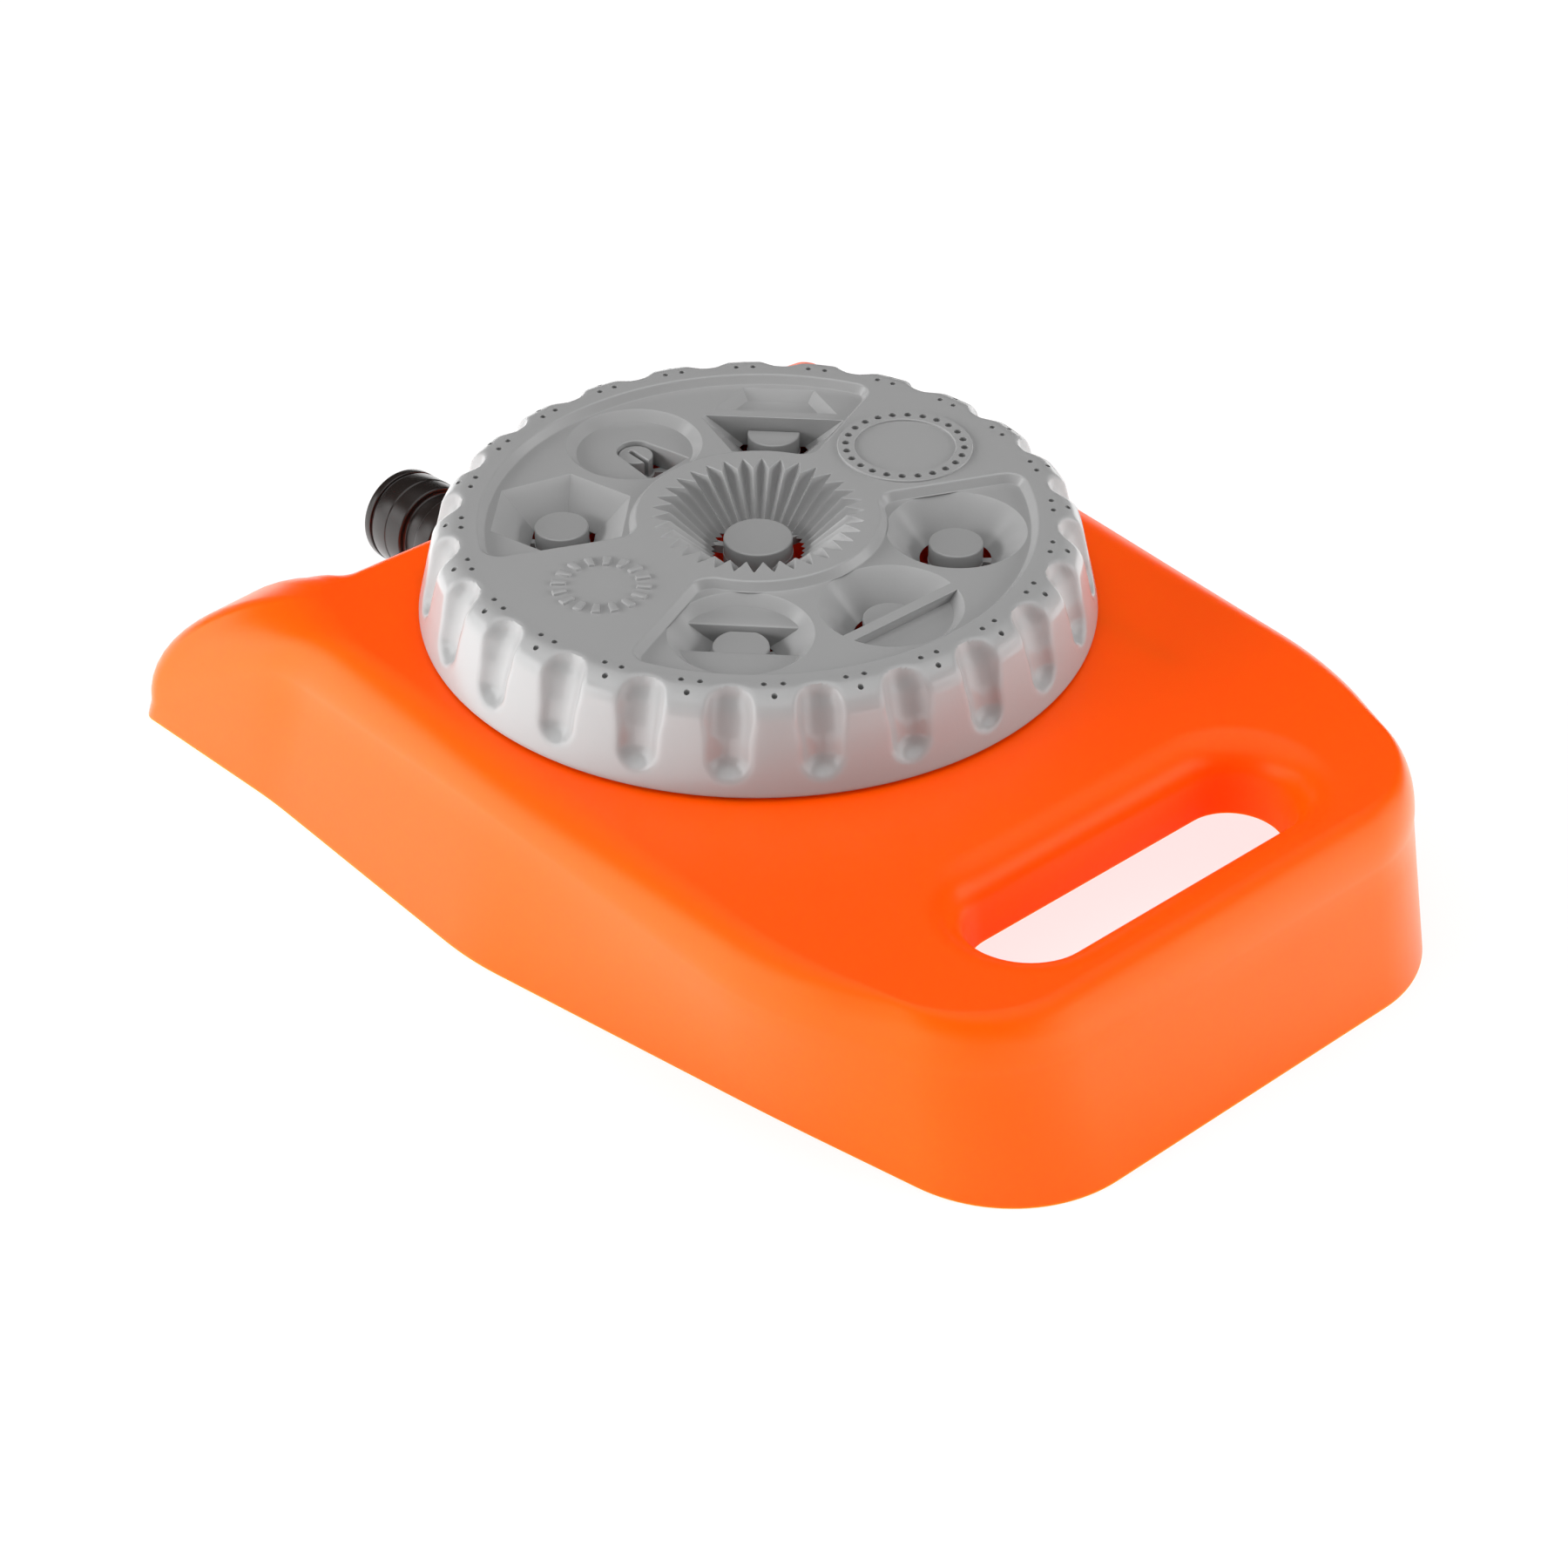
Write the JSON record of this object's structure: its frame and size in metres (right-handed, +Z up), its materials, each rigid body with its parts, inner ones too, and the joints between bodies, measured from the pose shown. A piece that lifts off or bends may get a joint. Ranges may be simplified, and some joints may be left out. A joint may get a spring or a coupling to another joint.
{
  "type": "garden sprinkler",
  "caption": "Garden sprinkler: turning dial of spray patterns on a low moulded base with a carrying handle, rear feet and a hose nipple.",
  "frame": {"origin": "middle of the bounding box, on the ground plane that the base stands on", "axes": "+Z up along the dial's axis; +Y towards the hose nipple, -Y towards the carrying handle; +X to the right seen from the handle"},
  "size_m": [0.1532, 0.2069, 0.0494],
  "materials": {
    "orange_polypropylene": "glossy injection moulding",
    "red_orange_polypropylene": "satin injection moulding",
    "grey_abs": "satin injection moulding",
    "black_nylon": "glossy injection moulding",
    "black_rubber": "matte moulded rubber",
    "stainless_steel": "plain drawn or stamped steel",
    "white_acetal": "satin injection moulding"
  },
  "bodies": {
    "base": {"base_shell": "orange_polypropylene", "box_gasket": "black_rubber", "box_cover": "black_nylon", "cover_screw_1": "stainless_steel", "cover_screw_2": "stainless_steel", "cover_screw_3": "stainless_steel", "cover_screw_4": "stainless_steel", "hose_nipple": "black_nylon", "nipple_nut": "black_nylon", "nipple_oring": "black_rubber", "inlet_strainer": "stainless_steel", "seal_spring": "stainless_steel", "detent_spring": "stainless_steel"},
    "dial": {"dial_face": "grey_abs", "deflector_plate": "grey_abs", "chamber_plate": "red_orange_polypropylene", "dial_screw": "stainless_steel", "dial_washer": "stainless_steel"},
    "seal": {"port_seal": "black_rubber"},
    "plunger": {"detent_plunger": "white_acetal"}
  },
  "joints": [
    {"name": "dial_turn", "type": "hinge", "parent": "base", "child": "dial", "pos_m": [0, 0.01453, 0.0242], "axis": [0, 0, 1], "continuous": true},
    {"name": "seal_press", "type": "slide", "parent": "base", "child": "seal", "axis": [0, 0, -1], "range_m": [0, 0.001], "stiffness_N_per_m": 800, "springref_m": -0.0015, "deforming": ["seal_spring"]},
    {"name": "plunger_press", "type": "slide", "parent": "base", "child": "plunger", "axis": [0, 0, -1], "range_m": [0, 0.0012], "stiffness_N_per_m": 1000, "springref_m": -0.0015, "deforming": ["detent_spring"]}
  ]
}
